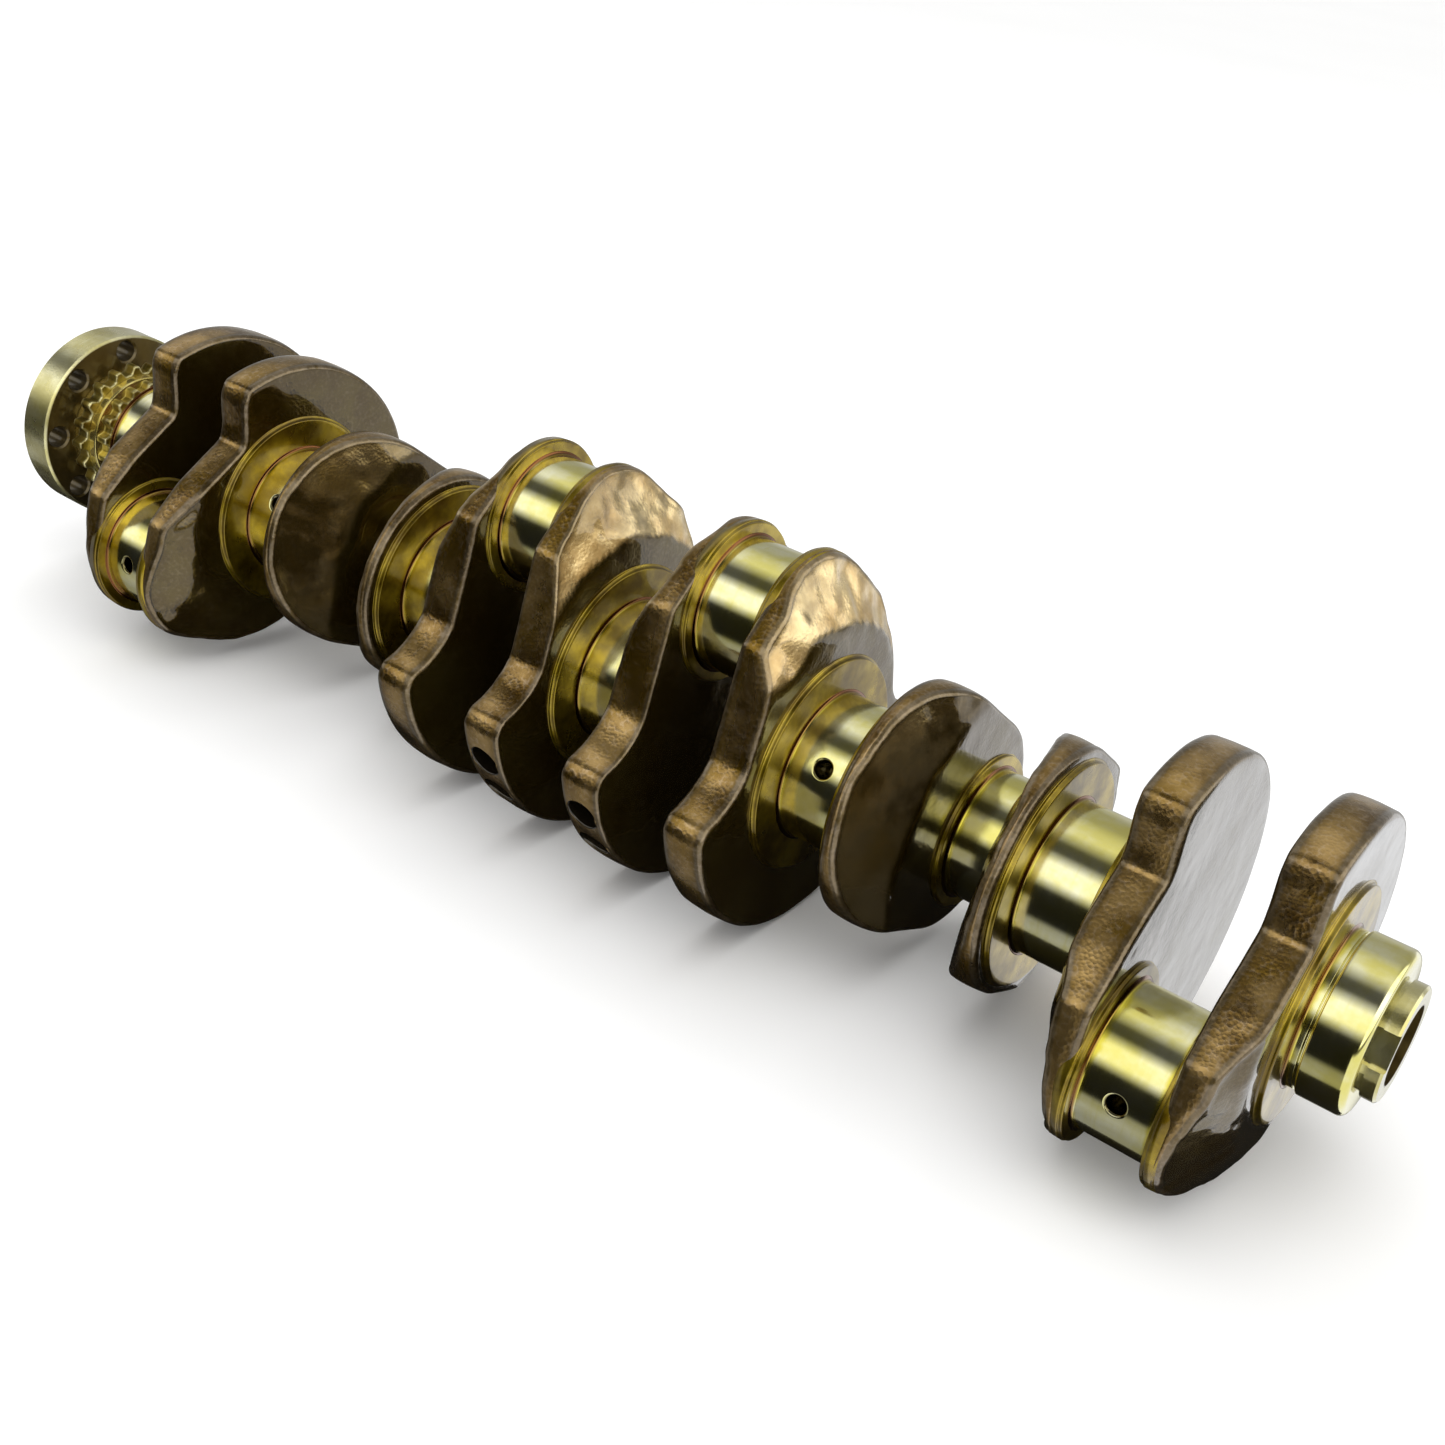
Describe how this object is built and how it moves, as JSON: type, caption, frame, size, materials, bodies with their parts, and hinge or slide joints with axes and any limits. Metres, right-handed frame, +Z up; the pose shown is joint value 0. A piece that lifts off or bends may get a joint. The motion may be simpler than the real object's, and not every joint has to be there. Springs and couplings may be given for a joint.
{
  "type": "crankshaft",
  "caption": "Forged crankshaft for an inline six-cylinder engine, with chain sprockets and a bolted flange at the output end.",
  "frame": {"origin": "on the shaft's axis at the middle of the fourth (centre) main journal", "axes": "+X along the shaft toward the nose, +Z up, with crankpins 3 and 4 straight up at top dead centre"},
  "size_m": [0.615, 0.1386, 0.1385],
  "materials": {
    "forged_web": "as-forged steel, bronze-brown under a glossy preserving oil film",
    "main_journal": "ground and polished, tinted yellow-green by oil",
    "crankpin": "ground and polished, tinted yellow-green by oil",
    "sprocket": "machined teeth and necks under golden oil",
    "output_flange": "turned rim, oiled brown face"
  },
  "bodies": {
    "root": {"main_journal_1": "main_journal", "main_journal_2": "main_journal", "main_journal_3": "main_journal", "main_journal_4": "main_journal", "main_journal_5": "main_journal", "main_journal_6": "main_journal", "main_journal_7": "main_journal", "crankpin_1": "crankpin", "crankpin_2": "crankpin", "crankpin_3": "crankpin", "crankpin_4": "crankpin", "crankpin_5": "crankpin", "crankpin_6": "crankpin", "web_1": "forged_web", "web_2": "forged_web", "web_3": "forged_web", "web_4": "forged_web", "web_5": "forged_web", "web_6": "forged_web", "web_7": "forged_web", "web_8": "forged_web", "web_9": "forged_web", "web_10": "forged_web", "web_11": "forged_web", "web_12": "forged_web", "nose_register": "main_journal", "rear_neck": "sprocket", "pump_sprocket": "sprocket", "sprocket_hub": "sprocket", "timing_sprocket": "sprocket", "flange_neck": "sprocket", "output_flange": "output_flange"}
  },
  "joints": []
}
